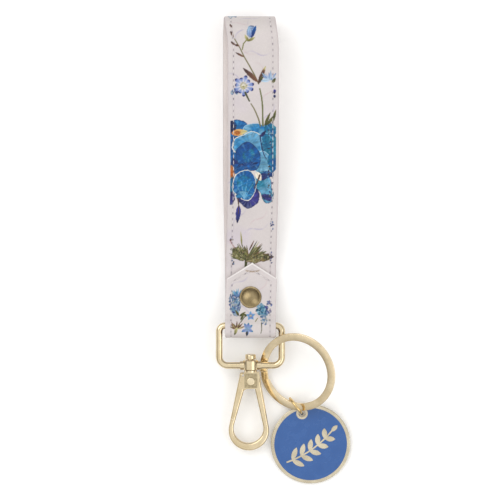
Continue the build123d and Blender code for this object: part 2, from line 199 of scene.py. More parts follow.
def leather(name, colour_low, colour_high, painted=False):
    """Leather-look coated fabric: a pebbled grain with fine pores, satin."""
    material, tree, shader = new_material(name)
    cloud = texture(tree, "ShaderNodeTexNoise", 90.0, 5.0)
    tint = ramp(tree, cloud.outputs["Fac"], colour_low, colour_high)
    if painted:
        paint = tree.nodes.new("ShaderNodeAttribute")
        paint.attribute_name = "paint"
        tint = mix(tree, 1.0, paint.outputs["Color"], tint, "MULTIPLY")
    pebble = texture(tree, "ShaderNodeTexVoronoi", 1500.0, feature="SMOOTH_F1")
    pores = texture(tree, "ShaderNodeTexNoise", 3200.0, 3.0)
    shade = ramp(tree, pebble.outputs["Distance"], 1.0, 0.93, (0.2, 0.8))
    tree.links.new(mix(tree, 1.0, tint, shade, "MULTIPLY"), shader.inputs["Base Color"])
    tree.links.new(
        ramp(tree, pores.outputs["Fac"], 0.44, 0.6, (0.3, 0.7)), shader.inputs["Roughness"]
    )
    shader.inputs["Specular IOR Level"].default_value = 0.35
    bump(tree, shader, pebble.outputs["Distance"], 0.35, 0.05)
    bump(tree, shader, pores.outputs["Fac"], 0.25, 0.02)
    return material


gold = metal("clasp_gold", (0.66, 0.54, 0.34), (0.80, 0.68, 0.47), 0.15, 0.03, 0.05)
ring_gold = metal("ring_gold", (0.72, 0.59, 0.38), (0.85, 0.72, 0.50), 0.16, 0.03, 0.05)
jump_gold = metal("jump_gold", (0.70, 0.50, 0.22), (0.84, 0.64, 0.33), 0.12, 0.03, 0.05)
charm_gold = metal("charm_gold", (0.54, 0.48, 0.36), (0.70, 0.63, 0.48), 0.27, 0.05, 0.12)
# painted light: the gate pin gets a lighter copy of the clasp gold, standing in for its bright head
pin_gold_painted_light = metal("pin_gold_painted_light", (0.78, 0.66, 0.44), (0.88, 0.77, 0.56), 0.12, 0.03, 0.05)
steel = metal("spring_steel", (0.50, 0.50, 0.50), (0.64, 0.63, 0.62), 0.3, 0.06, 0.2)
brass = metal("rivet_brass", (0.22, 0.165, 0.085), (0.38, 0.30, 0.17), 0.3, 0.07, 0.25)
print_leather = leather("strap_print", (0.93, 0.93, 0.93), (1.0, 1.0, 1.0), painted=True)
lining_leather = leather("strap_lining", (0.75, 0.69, 0.675), (0.85, 0.785, 0.77))


def board_material():
    """Fibre board: short pale fibres in a grey-brown ground."""
    material, tree, shader = new_material("strap_core")
    fibres = texture(tree, "ShaderNodeTexNoise", 1800.0, 6.0)
    tree.links.new(
        ramp(tree, fibres.outputs["Fac"], (0.45, 0.40, 0.35), (0.66, 0.61, 0.55)),
        shader.inputs["Base Color"],
    )
    shader.inputs["Roughness"].default_value = 0.9
    bump(tree, shader, fibres.outputs["Fac"], 0.4, 0.05)
    return material


def enamel_material():
    """Soft blue enamel under clear lacquer: uneven depth of colour and a few fine specks."""
    material, tree, shader = new_material("charm_blue")
    cloud = texture(tree, "ShaderNodeTexNoise", 260.0, 5.0)
    specks = texture(tree, "ShaderNodeTexVoronoi", 1100.0)
    base = ramp(tree, cloud.outputs["Fac"], (0.021, 0.098, 0.325), (0.028, 0.112, 0.355))
    light = ramp(tree, specks.outputs["Distance"], 0.25, 0.0, (0.0, 0.16))
    tree.links.new(mix(tree, light, base, (0.10, 0.26, 0.58)), shader.inputs["Base Color"])
    tree.links.new(
        ramp(tree, cloud.outputs["Fac"], 0.2, 0.32), shader.inputs["Roughness"]
    )
    shader.inputs["Coat Weight"].default_value = 0.25
    shader.inputs["Coat Roughness"].default_value = 0.08
    bump(tree, shader, cloud.outputs["Fac"], 0.2, 0.08)
    return material


def thread_material():
    """Sewing thread: twisted strands across each stitch."""
    material, tree, shader = new_material("seam_thread")
    twist = texture(tree, "ShaderNodeTexNoise", 4200.0, 2.0)
    tree.links.new(
        ramp(tree, twist.outputs["Fac"], (0.60, 0.56, 0.56), (0.86, 0.83, 0.83)),
        shader.inputs["Base Color"],
    )
    shader.inputs["Roughness"].default_value = 0.75
    shader.inputs["Sheen Weight"].default_value = 0.3
    bump(tree, shader, twist.outputs["Fac"], 0.5, 0.04)
    return material


BLOCK_MIDDLE = (0.2, BAR_Y - 24.6)
BLOCK_HALF = (2.9, 3.3)
BLOCK_SOFT = 0.12


def maths(tree, operation, a, b=None):
    """The value of a maths node; a is a socket, and b is a socket, a number or nothing."""
    node = tree.nodes.new("ShaderNodeMath")
    node.operation = operation
    tree.links.new(a, node.inputs[0])
    if isinstance(b, bpy.types.NodeSocket):
        tree.links.new(b, node.inputs[1])
    elif b is not None:
        node.inputs[1].default_value = b
    return node.outputs["Value"]


def hook_material():
    """The clasp's gold, with painted shade: a darker colour on the face of the hook's block round the
    rivet.
    """
    material = gold.copy()
    material.name = "hook_gold_block_shade"
    tree = material.node_tree
    shader = tree.nodes["Principled BSDF"]
    place = tree.nodes.new("ShaderNodeTexCoord")
    split = tree.nodes.new("ShaderNodeSeparateXYZ")
    tree.links.new(place.outputs["Object"], split.inputs["Vector"])
    masks = []
    for axis, middle, half in zip("XY", BLOCK_MIDDLE, BLOCK_HALF):
        away = maths(tree, "ABSOLUTE", maths(tree, "SUBTRACT", split.outputs[axis], middle * MM))
        inside = tree.nodes.new("ShaderNodeMapRange")
        inside.inputs["From Min"].default_value = (half + BLOCK_SOFT) * MM
        inside.inputs["From Max"].default_value = (half - BLOCK_SOFT) * MM
        tree.links.new(away, inside.inputs["Value"])
        masks.append(inside.outputs["Result"])
    # painted shade: inside this soft-edged mask the face of the hook's block gets a darker colour
    block_shade_mask = maths(tree, "MULTIPLY", *masks)
    shade_mottle = texture(tree, "ShaderNodeTexNoise", 900.0, 4.0)
    dark = ramp(tree, shade_mottle.outputs["Fac"], (0.34, 0.28, 0.17), (0.56, 0.47, 0.30))
    plated = shader.inputs["Base Color"].links[0].from_socket
    tree.links.new(mix(tree, block_shade_mask, plated, dark), shader.inputs["Base Color"])
    return material


hook_gold_block_shade = hook_material()
core_board = board_material()
enamel = enamel_material()
thread = thread_material()

for node, material in (
    ("clasp_frame", gold),
    ("swivel_pin", gold),
    ("hook_body", hook_gold_block_shade),
    ("gate", gold),
    ("gate_pin", pin_gold_painted_light),
    ("gate_spring", steel),
    ("jump_ring", jump_gold),
    ("charm_disc", charm_gold),
    ("charm_enamel", enamel),
    ("rivet_cap", brass),
    ("rivet_post", brass),
):
    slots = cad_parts[node].data.materials
    slots.clear()
    slots.append(material)

# ---------------------------------------------------------------- the strap's line, seen from its side
STRAP_WIDTH = 22.6
FACE_T = 0.6
CORE_T = 0.4
LINING_T = 0.6
BAND_T = FACE_T + CORE_T + LINING_T
TURNED_EDGE = 1.0
TAB_SHOULDER = 21.0
TAB_APEX = 28.0
LOOP_TOP_Y = 58.0
LOOP_HEIGHT = 20.0
BAR_Z = 8.3
POCKET_HALF = 2.0
SLOPE = -0.165
LAYER_GAP = 0.05
LIFT = 23.2
FRONT_TURN = 66.0
FRONT_RISE = math.radians(13.0)
POCKET_END = BAR_Y - 3.8 - BAND_T
BACK_LOW = BAR_Z - POCKET_HALF - BAND_T
HIDDEN_LOW = BACK_LOW + BAND_T + LAYER_GAP
TAB_LOW = HIDDEN_LOW + BAND_T + LAYER_GAP
TAB_SHIFT = (BAND_T + LAYER_GAP) * math.sin(FRONT_RISE) / 2
HIDDEN_LIFT_Z = HIDDEN_LOW + BAND_T + SLOPE * LIFT

CORNERS = [
    (BAR_Y + 4.8, HIDDEN_LOW + BAND_T + SLOPE * 4.8),
    (BAR_Y + LIFT, HIDDEN_LIFT_Z),
    (BAR_Y + FRONT_TURN, HIDDEN_LIFT_Z + (FRONT_TURN - LIFT) * math.tan(FRONT_RISE)),
    (BAR_Y + 100.0, LOOP_HEIGHT),
    (LOOP_TOP_Y, LOOP_HEIGHT),
    (LOOP_TOP_Y, 0.0),
    (BAR_Y - BACK_LOW / SLOPE, 0.0),
    (BAR_Y + 3.0, BACK_LOW + SLOPE * 3.0),
    (POCKET_END, BACK_LOW),
    (POCKET_END, BAR_Z + POCKET_HALF + BAND_T),
    (BAR_Y + 0.6, BAR_Z + POCKET_HALF + BAND_T),
    (BAR_Y + 5.6, TAB_LOW + BAND_T + SLOPE * 5.6),
    (BAR_Y + LIFT - TAB_SHIFT, TAB_LOW + BAND_T + SLOPE * (LIFT - TAB_SHIFT)),
    (BAR_Y + TAB_APEX, TAB_LOW + BAND_T + SLOPE * LIFT + 1.2),
]
RADII = [18.0, 90.0, 60.0, 9.8, 9.8, 50.0, 20.0, 3.2, 3.2, 3.0, 4.0, 16.4]


def strap_line():
    """The printed face's line as runs: (length, start, direction, bend), bend 0 for a straight one."""
    runs = []
    at = np.array(CORNERS[0])
    for corner, radius, nxt in zip(CORNERS[1:], RADII, CORNERS[2:]):
        corner = np.array(corner)
        before = (corner - at) / np.linalg.norm(corner - at)
        after = (np.array(nxt) - corner) / np.linalg.norm(np.array(nxt) - corner)
        turn = math.atan2(before[0] * after[1] - before[1] * after[0], float(before @ after))
        cut = radius * math.tan(abs(turn) / 2)
        runs.append((float(np.linalg.norm(corner - at)) - cut, at, before, 0.0))
        runs.append((radius * abs(turn), corner - before * cut, before, math.copysign(1 / radius, turn)))
        at = corner + after * cut
    end = np.array(CORNERS[-1])
    runs.append((float(np.linalg.norm(end - at)), at, (end - at) / np.linalg.norm(end - at), 0.0))
    return runs


RUNS = strap_line()
STARTS = np.concatenate([[0.0], np.cumsum([run[0] for run in RUNS])])
STRAP_LENGTH = float(STARTS[-1])
FOLD_START = float(STARTS[7])
FOLD_END = float(STARTS[10])
POCKET_START = float(STARTS[15])
TAB_START = float(STARTS[18])


def on_line(s):
    """Points (Y, Z) and inward normals of the printed face at distances s along the band."""
    points = np.zeros((len(s), 2))
    normals = np.zeros((len(s), 2))
    which = np.clip(np.searchsorted(STARTS, s, side="right") - 1, 0, len(RUNS) - 1)
    for number, (length, start, way, bend) in enumerate(RUNS):
        here = which == number
        d = (s[here] - STARTS[number])[:, None]
        left = np.array((-way[1], way[0]))
        if bend == 0.0:
            points[here] = start + way * d
            heading = np.repeat(way[None, :], len(d), axis=0)
        else:
            points[here] = start + (way * np.sin(d * bend) + left * (1 - np.cos(d * bend))) / bend
            heading = way * np.cos(d * bend) + left * np.sin(d * bend)
        normals[here] = np.stack([heading[:, 1], -heading[:, 0]], axis=1)
    return points, normals


LEG_SHIFT = 1.2
BACK_SHARE = 0.85
TAB_SKEW = 0.8


def sideways(s, y):
    """Shift across the strap: the front leg goes right, the back leg left and the tab's point right."""
    up = y - BAR_Y
    shape = smooth((up - 12.0) / 62.0) * LEG_SHIFT
    front = shape * (1.0 - 0.9 * smooth((up - 122.0) / 16.0))
    back = -shape * BACK_SHARE
    over = smooth((s - FOLD_START) / (FOLD_END - FOLD_START))
    tab = TAB_SKEW * smooth((up - 4.0) / 26.0)
    return np.where(s > TAB_START, tab, front * (1 - over) + back * over)


def half_width(s):
    """Half width of the band at s, which narrows to the tab's point."""
    up = on_line(s)[0][:, 0] - BAR_Y
    tip = (s > TAB_START) & (up > TAB_SHOULDER)
    narrowed = STRAP_WIDTH / 2 * (TAB_APEX - up) / (TAB_APEX - TAB_SHOULDER)
    return np.where(tip, np.maximum(narrowed, 0.25), STRAP_WIDTH / 2)


STITCH_INSET = 2.6
STITCH_PITCH = 2.7
STITCH_SHARE = 0.8
SEAM_LEAD = 0.6
HOLE_OFFSET = SEAM_LEAD - STITCH_PITCH * (1 - STITCH_SHARE) / 2
FRONT_SEAM = 27.0
TAB_SEAM = TAB_START + 2.0
POINT_SLOPE = math.cos(math.atan2(STRAP_WIDTH / 2, TAB_APEX - TAB_SHOULDER))


def from_edge(s, x):
    """Distance from the band's nearest edge, slanting edges of the tab included."""
    up = on_line(s)[0][:, 0] - BAR_Y
    tab = s > TAB_START
    slanted = (TAB_APEX - up) * STRAP_WIDTH / 2 / (TAB_APEX - TAB_SHOULDER) - np.abs(x)
    plain = STRAP_WIDTH / 2 - np.abs(x)
    return np.where(tab, np.minimum(plain, slanted * POINT_SLOPE), plain)


CREASE_UP = 24.1
CREASE_BOW = 0.055
CREASE_MIDDLE = 0.2
CREASE_HALF = 3.6
CREASE_WIDTH = 0.28
CREASE_DEPTH = 0.22
GROOVE_WIDTH = 0.45
GROOVE_DEPTH = 0.12
EDGE_ROUND = 0.8


def crease(s, x):
    """The small curved crease that the press leaves near the tab's point, from 0 to 1."""
    up = on_line(s)[0][:, 0] - BAR_Y
    bow = CREASE_UP + CREASE_BOW * (x - CREASE_MIDDLE) ** 2
    inside = smooth((CREASE_HALF - np.abs(x - CREASE_MIDDLE)) / 1.2) * (s > TAB_START)
    return np.exp(-(((up - bow) / CREASE_WIDTH) ** 2)) * inside


def band_points(s, x, depth, relief=0.0, soft_edge=0.0):
    """Points at distances s along the band, x across it and a depth inside its face.

    Relief 1 or -1 rounds the edges and presses the grooves into the face or the lining; 0 is plain.
    """
    line, normal = on_line(s)
    edge = from_edge(s, x)
    rounded = np.clip(1.0 - edge / EDGE_ROUND, 0.0, 1.0)
    turned_down = soft_edge * (1.0 - np.sqrt(np.clip(1.0 - rounded**2, 0.0, 1.0)))
    groove = GROOVE_DEPTH * np.exp(-(((edge - STITCH_INSET) / GROOVE_WIDTH) ** 2))
    pressed = groove + CREASE_DEPTH * crease(s, x)
    place = line + normal * (depth + relief * (turned_down + pressed))[:, None]
    return np.stack([x + sideways(s, line[:, 0]), place[:, 0], place[:, 1]], axis=1)


def band_piece(name, material, s_values, near, far, width, cells, relief, soft_edge=0.0, paint=None):
    """A closed strip of the band with a fine, shaped near side.

    far is its far side as points (share of the half width, depth); paint gives the points' colours.
    """
    rows = len(s_values)
    share = np.concatenate([np.linspace(-1.0, 1.0, cells + 1), [point[0] for point in far]])
    depth = np.concatenate([np.full(cells + 1, near), [point[1] for point in far]])
    shaped = np.arange(len(share)) <= cells
    s = np.repeat(s_values, len(share))
    half = np.maximum(half_width(s) - (STRAP_WIDTH - width) / 2, 0.2)
    x = np.tile(share, rows) * half
    side = np.where(np.tile(shaped, rows), relief, 0.0)
    points = band_points(s, x, np.tile(depth, rows), side, soft_edge)
    faces = grid_faces(rows, len(share))
    if relief < 0:
        faces = [face[::-1] for face in faces]
    colours = None
    if paint is not None:
        colours = paint(points, s, x, np.where(np.tile(shaped, rows), 0.0, 1.0))
    return make_mesh(name, points, faces, material, colours)


# ---------------------------------------------------------------- the print
GROUND = np.array((0.850, 0.820, 0.820))
NAVY = (0.13, 0.17, 0.42)
INK = (0.10, 0.12, 0.30)
DEEP = (0.02, 0.37, 0.67)
BLUE = (0.09, 0.50, 0.78)
SKY = (0.45, 0.72, 0.88)
TEAL = (0.10, 0.52, 0.66)
PALE = (0.68, 0.82, 0.91)
CREAM = (0.95, 0.93, 0.88)
VIOLET = (0.25, 0.24, 0.60)
PERI = (0.45, 0.52, 0.78)
OLIVE = (0.45, 0.44, 0.24)
MOSS = (0.27, 0.29, 0.16)
BROWN = (0.50, 0.34, 0.24)
UMBER = (0.30, 0.21, 0.20)
ORANGE = (0.88, 0.55, 0.24)
YELLOW = (0.83, 0.80, 0.58)
SOFT = 0.16
LOBES = 0.045


class Canvas:
    """Colours of a set of points (x, v), which motifs are painted over one after another."""

    def __init__(self, x, v):
        self.x = x
        self.v = v
        self.colour = np.repeat(GROUND[None, :], len(x), axis=0)

    def lay(self, mask, colour):
        mask = np.clip(mask, 0.0, 1.0)[:, None]
        self.colour = self.colour * (1 - mask) + np.asarray(colour) * mask

    def wash(self, low, high, size, seed):
        """A water-colour mixture of two colours."""
        t = fine_noise(self.x, self.v, size, seed)
        t = smooth((t - 0.25) / 0.5)[:, None]
        return np.array(low) * (1 - t) + np.array(high) * t

    def local(self, cx, cy, angle):
        a = math.radians(angle)
        dx = self.x - cx
        dy = self.v - cy
        return dx * math.cos(a) + dy * math.sin(a), dy * math.cos(a) - dx * math.sin(a)

    def blob(self, cx, cy, rx, ry, low, high, angle=0.0, rim=None, wobble=0.16, seed=1, rim_t=0.4):
        """An uneven oval wash, with an optional painted rim."""
        p, q = self.local(cx, cy, angle)
        r = np.hypot(p / rx, q / ry) + wobble * (noise(self.x, self.v, min(rx, ry) * 0.8, seed) - 0.5)
        r = r + 0.22 / min(rx, ry) * (noise(self.x, self.v, 0.55, seed + 9) - 0.5)
        turn = np.arctan2(q, p)
        for count, share, start in ((2, 1.0, 1.7), (3, 0.8, 2.3), (5, 0.5, 1.0)):
            r = r + LOBES * share * np.sin(turn * count + seed * start)
        inside = (1 - r) * min(rx, ry)
        mask = smooth(inside / SOFT + 0.5)
        if rim is not None:
            self.lay(mask, rim)
            mask = smooth((inside - rim_t) / SOFT + 0.5)
        tone = self.wash(low, high, min(rx, ry) * 0.9, seed)
        fold = 0.5 + 0.5 * np.sin(turn * 9 + 5 * noise(self.x, self.v, 2.0, seed + 5))
        streak = noise(turn * 6.0, r * 1.2, 1.0, seed + 3)
        near_edge = np.exp(-((inside / 0.45) ** 2))
        tone = tone * (0.84 + 0.16 * fold * np.clip(r, 0, 1) - 0.16 * near_edge)[:, None]
        brush = noise(p * 0.7 + q * 0.3, q * 2.4 - p * 0.8, 1.0, seed + 6)
        tone = tone * (0.86 + 0.28 * brush)[:, None]
        light = (smooth((streak - 0.62) / 0.2) * 0.42 * np.clip(r * 1.3, 0, 1))[:, None]
        tone = tone * (1 - light) + (np.array(high) * 0.45 + 0.50) * light
        self.lay(mask, tone)

    def petal(self, cx, cy, angle, length, width, low, high, seed=1, tip=None, blunt=False):
        """A petal or leaf with its base at (cx, cy), widest past its middle."""
        p, q = self.local(cx, cy, angle)
        t = np.clip(p / length, 0, 1)
        half = width / 2 * np.sin(math.pi * t**0.8) ** 0.75
        if blunt:
            rise = np.clip(t / 0.6, 0, 1) ** 0.6
            half = width / 2 * rise * np.sqrt(1 - np.clip((t - 0.6) / 0.4, 0, 1) ** 2)
        half = half * (0.86 + 0.28 * noise(self.x, self.v, 0.5, seed + 4))
        mask = smooth((half - np.abs(q)) / SOFT + 0.3) * (p > 0) * (p < length)
        mix_by = smooth(t + 0.35 * (noise(self.x, self.v, 1.1, seed) - 0.5))[:, None]
        tone = np.array(low) * (1 - mix_by) + np.array(high) * mix_by
        if tip is not None:
            tip_by = smooth((t - 0.68) / 0.2)[:, None]
            tone = tone * (1 - tip_by) + np.array(tip) * tip_by
        vein = np.exp(-((q / 0.14) ** 2)) * 0.18
        self.lay(mask, tone * (1 - vein)[:, None])

    def stroke(self, points, width, colour, end_width=None):
        """A brush line through points, that may thin towards its end."""
        end_width = width if end_width is None else end_width
        total = len(points) - 1
        for k in range(total):
            ax, ay = points[k]
            bx, by = points[k + 1]
            length2 = (bx - ax) ** 2 + (by - ay) ** 2
            t = np.clip(((self.x - ax) * (bx - ax) + (self.v - ay) * (by - ay)) / length2, 0, 1)
            away = np.hypot(self.x - ax - t * (bx - ax), self.v - ay - t * (by - ay))
            w = width + (end_width - width) * (k + t) / total
            self.lay(smooth((w / 2 - away) / SOFT + 0.5), colour)

    def daisy(self, cx, cy, radius, count, low, high, heart, turn=0.0, tip=None, seed=1):
        """Separate petals round a pale heart."""
        for k in range(count):
            angle = turn + 360.0 * k / count
            a = math.radians(angle)
            foot = radius * 0.36
            reach = radius * (0.95 + 0.12 * math.sin(3.1 * k + seed)) - foot
            self.petal(
                cx + foot * math.cos(a), cy + foot * math.sin(a), angle, reach, radius * 0.40, low, high,
                seed + k, tip, True,
            )
        self.blob(cx, cy, radius * 0.34, radius * 0.32, heart, YELLOW, 0, None, 0.3, seed)
        self.blob(cx, cy - radius * 0.08, radius * 0.12, radius * 0.1, OLIVE, YELLOW, 0, None, 0.3, seed)

    def cluster(self, cx, cy, rx, ry, count, tones, size, seed):
        """Many small florets scattered over an oval."""
        draw = np.random.default_rng(seed)
        for k in range(count):
            angle = draw.random() * 2 * math.pi
            reach = math.sqrt(draw.random())
            low, high = tones[k % len(tones)]
            self.blob(
                cx + rx * reach * math.cos(angle), cy + ry * reach * math.sin(angle),
                size * (0.6 + 0.7 * draw.random()), size * (0.5 + 0.6 * draw.random()),
                low, high, draw.random() * 180, None, 0.35, seed + k,
            )

    def bristles(self, cx, cy, spread, count, length, tones, seed, lean=0.0, width=0.75):
        """A fan of narrow leaves that point up the strap."""
        draw = np.random.default_rng(seed)
        for k in range(count):
            share = 2 * k / (count - 1) - 1
            angle = 90 - lean - share * spread + draw.normal() * 5
            low, high = tones[k % len(tones)]
            reach = length * (0.72 + 0.4 * draw.random())
            self.petal(cx + share * length * 0.12, cy, angle, reach, width, low, high, seed + k)


def ground_strokes(c):
    """The clouded ground and the faint lavender and rose brush marks under the flowers."""
    cloud = fine_noise(c.x, c.v, 16.0, 11)
    c.lay(smooth((cloud - 0.52) / 0.3) * 0.5, (0.83, 0.79, 0.845))
    c.lay(smooth((0.42 - cloud) / 0.3) * 0.5, (0.88, 0.86, 0.84))
    for k in range(54):
        draw = np.random.default_rng(300 + k)
        cx = draw.uniform(-9, 9)
        cy = 4 + k * 5.4 + draw.uniform(-4, 4)
        lean = draw.uniform(-60, 60)
        p, q = c.local(cx, cy, lean)
        line = np.exp(-(((q + 0.9 * np.sin(p * 0.6)) / 0.32) ** 2)) * np.exp(-((p / 4.5) ** 2))
        tone = (0.64, 0.61, 0.76) if k % 2 else (0.80, 0.70, 0.72)
        c.lay(line * 0.5 * smooth(noise(c.x, c.v, 1.5, 20 + k) * 1.6), tone)


def mirrored(cy, side):
    """Places and angles about a height cy, turned left for right where side is -1."""

    def at(x, v):
        return side * x, cy + v

    def turned(angle):
        return angle if side > 0 else 180 - angle

    return at, turned


def pansy_block(c, cy, side=1.0):
    """The big blue flowers across the strap's middle, about cy."""
    at, turned = mirrored(cy, side)
    c.blob(*at(-7.0, 1.2), 3.8, 11.5, NAVY, DEEP, 0, None, 0.2, 31)
    c.blob(*at(0.5, 2.0), 9.2, 8.2, DEEP, BLUE, 0, None, 0.2, 30)
    c.blob(*at(7.6, 1.8), 4.4, 9.8, TEAL, SKY, turned(4), None, 0.3, 32)
    c.blob(*at(-5.4, 9.0), 5.6, 4.0, BLUE, DEEP, turned(-6), INK, 0.3, 33, 0.12)
    c.blob(*at(-8.4, 10.4), 2.2, 2.6, INK, DEEP, 0, None, 0.4, 34)
    c.blob(*at(2.6, 8.2), 6.4, 3.6, SKY, BLUE, turned(-8), PALE, 0.3, 35, 0.2)
    c.blob(*at(9.0, 8.0), 2.6, 3.4, DEEP, TEAL, 0, None, 0.5, 29)
    c.blob(*at(-0.4, 2.9), 7.4, 5.2, SKY, BLUE, turned(8), CREAM, 0.14, 36, 0.3)
    c.petal(*at(-8.4, 7.4), turned(8), 7.2, 3.0, ORANGE, YELLOW, 37)
    c.blob(*at(-5.8, 7.7), 1.5, 0.8, (0.76, 0.40, 0.14), ORANGE, turned(5), None, 0.35, 38)
    c.blob(*at(7.3, 1.6), 2.8, 6.6, TEAL, (0.05, 0.40, 0.60), turned(8), SKY, 0.35, 39, 0.25)
    c.blob(*at(5.6, -5.4), 5.2, 5.0, SKY, (0.40, 0.66, 0.80), turned(-20), PALE, 0.25, 40, 0.25)
    c.blob(*at(9.6, -5.0), 1.8, 4.6, TEAL, DEEP, 0, None, 0.5, 28)
    c.blob(*at(-1.1, -2.9), 5.6, 6.3, DEEP, (0.01, 0.31, 0.61), 0, INK, 0.14, 41, 0.16)
    c.blob(*at(-1.0, -2.4), 3.1, 2.7, TEAL, DEEP, 0, None, 0.4, 42)
    c.blob(*at(-1.6, -6.6), 4.4, 1.3, (0.01, 0.25, 0.52), (0.02, 0.18, 0.44), turned(10), None, 0.4, 43)
    c.blob(*at(-4.4, -8.4), 3.2, 1.9, DEEP, NAVY, turned(20), None, 0.4, 27)
    c.blob(*at(-8.6, -9.8), 1.3, 3.1, ORANGE, (0.80, 0.42, 0.18), 0, None, 0.4, 44)
    c.blob(*at(6.2, -15.8), 3.4, 6.8, SKY, TEAL, turned(14), INK, 0.35, 45, 0.1)
    c.blob(*at(6.4, -11.2), 3.8, 1.7, NAVY, DEEP, turned(16), None, 0.4, 46)
    c.blob(*at(7.4, -20.6), 2.2, 1.6, NAVY, VIOLET, turned(-20), None, 0.45, 47)
    c.blob(*at(-0.6, -20.9), 4.9, 4.4, VIOLET, NAVY, turned(30), INK, 0.26, 48, 0.1)
    c.blob(*at(-8.2, -16.2), 1.4, 4.2, TEAL, DEEP, 0, None, 0.4, 26)
    c.blob(*at(-8.3, -21.4), 1.2, 3.0, NAVY, VIOLET, 0, None, 0.5, 49)
    c.blob(*at(-2.7, -15.2), 5.1, 6.9, DEEP, BLUE, turned(8), CREAM, 0.16, 50, 0.25)
    c.blob(*at(-2.0, -14.6), 3.2, 3.6, TEAL, BLUE, turned(12), None, 0.5, 51)
    c.blob(*at(-3.0, -19.6), 3.4, 1.6, SKY, BLUE, turned(6), None, 0.5, 25)
    for lean, reach in ((60, 7.5), (80, 8.5), (100, 8.5), (120, 7.0)):
        a = math.radians(turned(lean))
        foot = at(-2.8, -21.5)
        tip = (foot[0] + reach * math.cos(a), foot[1] + reach * math.sin(a))
        c.stroke([foot, tip], 0.22, (0.50, 0.74, 0.88), 0.08)
    for lean in range(15, 180, 22):
        a = math.radians(lean)
        foot = at(-1.0, -7.4)
        tip = (foot[0] + 7.6 * math.cos(a), foot[1] + 8.6 * math.sin(a))
        c.stroke([foot, tip], 0.18, (0.10, 0.42, 0.74), 0.06)
    c.petal(*at(2.6, -9.6), turned(-62), 4.4, 2.6, CREAM, (0.97, 0.90, 0.80), 52)
    c.stroke([at(4.1, -11.0), at(3.0, -14.0), at(1.6, -16.8)], 0.75, UMBER, 0.4)
    c.stroke([at(4.2, 6.6), at(4.8, 2.4), at(5.8, -1.6), at(7.0, -3.8)], 0.5, INK, 0.3)
    c.petal(*at(4.6, 6.0), turned(50), 3.4, 1.5, NAVY, INK, 53)
    c.cluster(*at(8.9, 6.0), 1.2, 8.0, 20, ((NAVY, DEEP), (PALE, SKY), (UMBER, NAVY)), 0.42, 54)
    c.cluster(*at(8.6, -13.5), 1.2, 7.0, 18, ((NAVY, VIOLET), (PALE, SKY), (UMBER, MOSS)), 0.4, 55)
    c.petal(*at(-5.1, -24.4), turned(-96), 8.0, 2.3, VIOLET, NAVY, 56, INK)
    c.stroke([at(-5.6, -21.4), at(-5.2, -24.6), at(-5.4, -28.0)], 0.6, UMBER, 0.3)


def upper_flowers(c, cy, side=1.0):
    """Bud, twig, daisy and leaves on the pale ground above the blue flowers."""
    at, turned = mirrored(cy, side)
    stem = (0.44, 0.42, 0.26)
    twig = [at(-7.0, 15.4), at(-4.6, 11.3), at(-2.9, 7.7), at(-0.5, 3.6), at(1.7, -0.4), at(3.6, -4.4)]
    c.stroke(twig, 0.42, stem, 0.6)
    c.stroke([at(-3.6, 10.8), at(-3.1, 13.3), at(-1.5, 15.2)], 0.5, (0.50, 0.50, 0.30), 0.5)
    for x, v, lean, size in (
        (-9.0, 22.6, -70, 2.4), (-8.9, 18.9, -62, 3.2), (-8.7, 14.3, -40, 2.8), (-6.9, 12.8, -15, 2.2)
    ):
        c.petal(*at(x, v), turned(lean), size, 1.05, UMBER, BROWN, 61)
    c.petal(*at(-2.8, 7.4), turned(152), 4.6, 0.95, BROWN, UMBER, 62)
    c.petal(*at(-0.9, 14.2), turned(118), 3.6, 1.4, OLIVE, YELLOW, 63)
    c.petal(*at(-1.2, 14.4), turned(28), 3.8, 1.3, OLIVE, YELLOW, 64)
    c.blob(*at(0.3, 18.9), 1.9, 3.0, (0.44, 0.53, 0.76), (0.60, 0.71, 0.86), turned(-12), None, 0.25, 65)
    c.petal(*at(0.4, 15.9), turned(70), 6.2, 1.7, NAVY, DEEP, 66)
    c.petal(*at(0.0, 16.2), turned(100), 5.4, 1.5, PERI, PALE, 67)
    c.petal(*at(3.3, -3.6), turned(137), 9.2, 2.1, BROWN, UMBER, 68)
    c.petal(*at(3.5, -4.4), turned(68), 8.6, 1.9, UMBER, BROWN, 69, YELLOW)
    c.petal(*at(3.9, -3.0), turned(48), 4.0, 1.1, MOSS, OLIVE, 70)
    c.daisy(*at(-3.1, -5.3), 4.5, 11, (0.72, 0.78, 0.90), PERI, CREAM, 10, NAVY, 71)
    c.cluster(*at(-6.7, -8.0), 1.7, 1.6, 7, ((PERI, PALE), (NAVY, PERI), (PALE, CREAM)), 0.75, 72)
    pales = ((PALE, PERI), (PERI, PALE), (PALE, (0.76, 0.80, 0.92)))
    c.bristles(*at(8.6, -2.8), 62, 9, 4.4, pales, 73, 0, 0.85)
    c.petal(*at(8.7, -2.6), turned(188), 4.2, 1.7, (0.78, 0.84, 0.92), PALE, 74)
    c.petal(*at(9.6, -4.2), turned(60), 2.8, 1.5, OLIVE, MOSS, 75)
    c.petal(*at(10.7, -6.8), turned(-92), 2.2, 1.3, VIOLET, INK, 76)
    c.petal(*at(10.5, -9.2), turned(-80), 1.5, 1.2, NAVY, INK, 77)
    c.stroke([at(-2.3, -8.3), at(-1.4, -10.2), at(-0.5, -12.0)], 0.9, MOSS, 0.6)
    left_stem = [at(0.2, -13.2), at(1.5, -15.2), at(2.5, -17.3), at(3.6, -20.0), at(4.4, -23.0)]
    right_stem = [at(4.1, -6.6), at(4.9, -10.4), at(5.3, -14.0), at(5.5, -22.8)]
    c.stroke(left_stem, 0.45, stem, 0.6)
    c.stroke(right_stem, 0.55, (0.40, 0.42, 0.24), 0.7)
    for x, v, lean, size in (
        (6.2, -22.8, 66, 6.6), (7.6, -22.0, 50, 6.0), (9.6, -21.6, 74, 6.2), (6.6, -22.6, 40, 4.6)
    ):
        c.petal(*at(x, v), turned(lean), size, 1.3, MOSS, OLIVE, 78)


